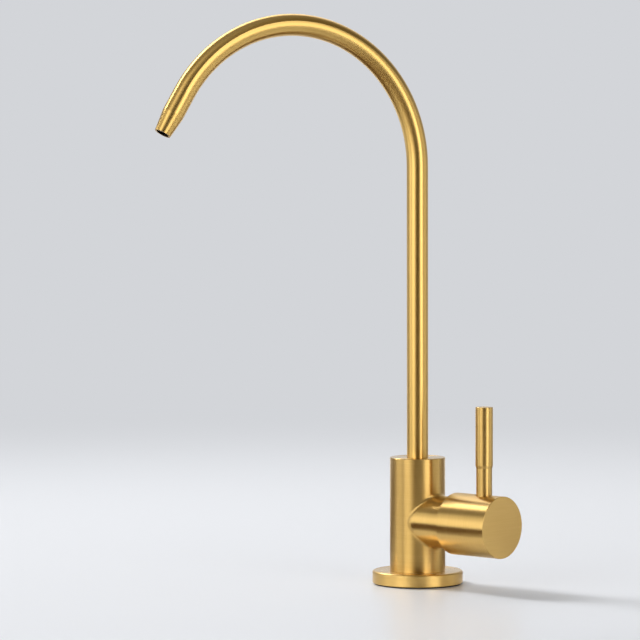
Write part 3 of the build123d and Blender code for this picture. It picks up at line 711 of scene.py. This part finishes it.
# The height of the walls in degrees, and where they pass into the ceiling, counted from their top
TOPS = [
    (-180, 58), (-125, 56), (-110, 40), (-80, 32), (-42, 38), (16, 40), (26, 34), (54, 32), (90, 30),
    (150, 40), (180, 58),
]
WALL_TO_CEILING = (-5, 7)
OVERHEAD = 90

world = bpy.data.worlds.new("studio")
bpy.context.scene.world = world
world.use_nodes = True
tree = world.node_tree
tree.nodes.clear()
sight = add(tree, "TexCoord", out="Generated")
TO_CAMERA = (cos(CAMERA_SIDE), sin(CAMERA_SIDE), 0)
TO_ITS_RIGHT = (-sin(CAMERA_SIDE), cos(CAMERA_SIDE), 0)
ahead = add(tree, "VectorMath", sight, TO_CAMERA, operation="DOT_PRODUCT", out=1)
aside = add(tree, "VectorMath", sight, TO_ITS_RIGHT, operation="DOT_PRODUCT", out=1)
turn = add(tree, "Math", aside, ahead, operation="ARCTAN2")
turn_share = add(tree, "Math", turn, 1 / (2 * pi), 0.5, operation="MULTIPLY_ADD")
rise = add(tree, "Math", add(tree, "SeparateXYZ", sight, out=2), operation="ARCSINE")
degrees_up = add(tree, "Math", rise, 180 / pi, operation="MULTIPLY")


def panorama(stops):
    """A ramp all the way round the tap."""
    places = [((direction + 180) / 360, colour) for direction, colour in stops]
    return add(tree, "ValToRGB", turn_share, stops=places)


def over(lower, upper, heights, height=degrees_up):
    """Lets the lower picture pass into the upper one between two heights, in degrees."""
    share = add(tree, "MapRange", height, *heights, interpolation_type="SMOOTHSTEP")
    return add(tree, "Mix", share, into={6: lower, 7: upper}, data_type="RGBA", out=2)


walls = over(panorama(LOW), panorama(MIDDLE), LOW_TO_MIDDLE)
walls = over(walls, panorama(HIGH), MIDDLE_TO_HIGH)
tops = panorama([(direction, grey(height / OVERHEAD)) for direction, height in TOPS])
past_tops = add(tree, "Math", tops, -OVERHEAD, degrees_up, operation="MULTIPLY_ADD")
ceiling = over(grey(0.14, 0.2), grey(0.3), DIM_TO_BRIGHTER)
room = over(walls, ceiling, WALL_TO_CEILING, past_tops)

# A round softbox behind the tap on the left, drawn with a wide soft edge
KEY_SIDE, KEY_HEIGHT, KEY_LEVEL = radians(186), radians(41), 12.0
KEY_EDGE, KEY_MIDDLE = cos(radians(10)), cos(radians(1))
key = (cos(KEY_HEIGHT) * cos(KEY_SIDE), cos(KEY_HEIGHT) * sin(KEY_SIDE), sin(KEY_HEIGHT))
near_key = add(tree, "VectorMath", sight, key, operation="DOT_PRODUCT", out=1)
glow = add(
    tree, "MapRange", near_key, KEY_EDGE, KEY_MIDDLE, 0.0, KEY_LEVEL, interpolation_type="SMOOTHSTEP"
)
room = add(tree, "Mix", 1.0, into={6: room, 7: glow}, data_type="RGBA", blend_type="ADD", out=2)

# What the camera sees, also through clear things, is one pale, cool grey
to_camera = add(tree, "LightPath", out="Is Camera Ray")
through_clear = add(tree, "LightPath", out="Is Transmission Ray")
straight = add(tree, "Math", to_camera, through_clear, operation="MAXIMUM")
plain_wall = add(tree, "Mix", straight, into={6: room, 7: WALL}, data_type="RGBA", out=2)
add(tree, "OutputWorld", add(tree, "Background", plain_wall, 1.0))

# A soft lamp behind the tap on the left lights the pale surfaces and casts the shadow. The metal
# doesn't show it, because the drawn panels serve the metal.
LAMP_SIDE, LAMP_HEIGHT, LAMP_DISTANCE = radians(186), radians(45), 3.0
LAMP_WIDTH, LAMP_LENGTH, LAMP_WATTS = 0.72, 0.92, 48.0
LAMP_AIM = Vector((0.02, 0, 0.06))
light = bpy.data.lights.new("side_softbox", "AREA")
light.shape = "RECTANGLE"
light.size, light.size_y, light.energy = LAMP_WIDTH, LAMP_LENGTH, LAMP_WATTS
lamp = bpy.data.objects.new("side_softbox", light)
bpy.context.scene.collection.objects.link(lamp)
level_reach = cos(LAMP_HEIGHT)
towards = Vector((level_reach * cos(LAMP_SIDE), level_reach * sin(LAMP_SIDE), sin(LAMP_HEIGHT)))
lamp.location = LAMP_AIM + towards * LAMP_DISTANCE
lamp.rotation_euler = towards.to_track_quat("Z", "Y").to_euler()
lamp.visible_glossy = False

# Dark cards on the floor that glow a dim brown and are seen by the metal alone: painted dark
# reflections, placed as a studio places its flags. They give it its dark bands near the foot. From
# below they are clear, so the floor's own shine doesn't show them. Each is drawn between two x and
# two y values, and then turned round Z by the angle that comes before them.
CARD_HEIGHT = 0.6 * MM
CARDS = (
    ("card_front_left", 0, -0.6, 0.05, -0.3, -0.062),
    ("card_front_right", 0, 0.05, 0.7, -0.8, -0.12),
    ("card_left", 182, 0.08, 0.6, -0.14, 0.14),
    ("card_back_right", 85, 0.05, 0.6, -0.11, 0.11),
)
dark_card, tree = empty_material("dark_card")
# The cards glow a fixed dim brown that only the metal sees: a painted dark reflection, not a lit surface
painted_dark_reflection = add(tree, "Emission", linear("#604828"), 1.0)
under = add(tree, "NewGeometry", out="Backfacing")
add(tree, "OutputMaterial", add(tree, "MixShader", under, painted_dark_reflection, add(tree, "BsdfTransparent")))
for name, angle, x0, x1, y0, y1 in CARDS:
    begin()
    middle = Vector(((x0 + x1) / 2, (y0 + y1) / 2, CARD_HEIGHT))
    middle.rotate(Matrix.Rotation(radians(angle), 3, "Z"))
    bpy.ops.mesh.primitive_plane_add(size=1, location=middle, rotation=(0, 0, radians(angle)))
    card = bpy.context.object
    card.name = name
    card.scale = (x1 - x0, y1 - y0, 1)
    bpy.ops.object.transform_apply(location=True, rotation=True, scale=True)
    card.data.materials.append(dark_card)
    card.visible_camera = card.visible_diffuse = False
    card.visible_shadow = card.visible_transmission = False


# Camera, at the photograph's angle

LENS_MM, SENSOR_MM = 184.33, 36
CAMERA_PLACE = (1.1964, -1.3823, 0.2361)
LOOKS_ALONG = Vector((-0.6758, 0.7355, -0.0483)).normalized()
RIGHT_HAND = Vector((0.7363, 0.6767, 0)).normalized()
ROLL = radians(-0.12)
lens = bpy.data.cameras.new("camera")
lens.lens, lens.sensor_width = LENS_MM, SENSOR_MM
camera = bpy.data.objects.new("camera", lens)
bpy.context.scene.collection.objects.link(camera)
above = RIGHT_HAND.cross(LOOKS_ALONG)
across = RIGHT_HAND * cos(ROLL) + above * sin(ROLL)
upward = above * cos(ROLL) - RIGHT_HAND * sin(ROLL)
looking = Matrix((across, upward, -LOOKS_ALONG)).transposed().to_4x4()
camera.matrix_world = Matrix.Translation(CAMERA_PLACE) @ looking
bpy.context.scene.camera = camera
bpy.context.scene.view_settings.view_transform = "Standard"
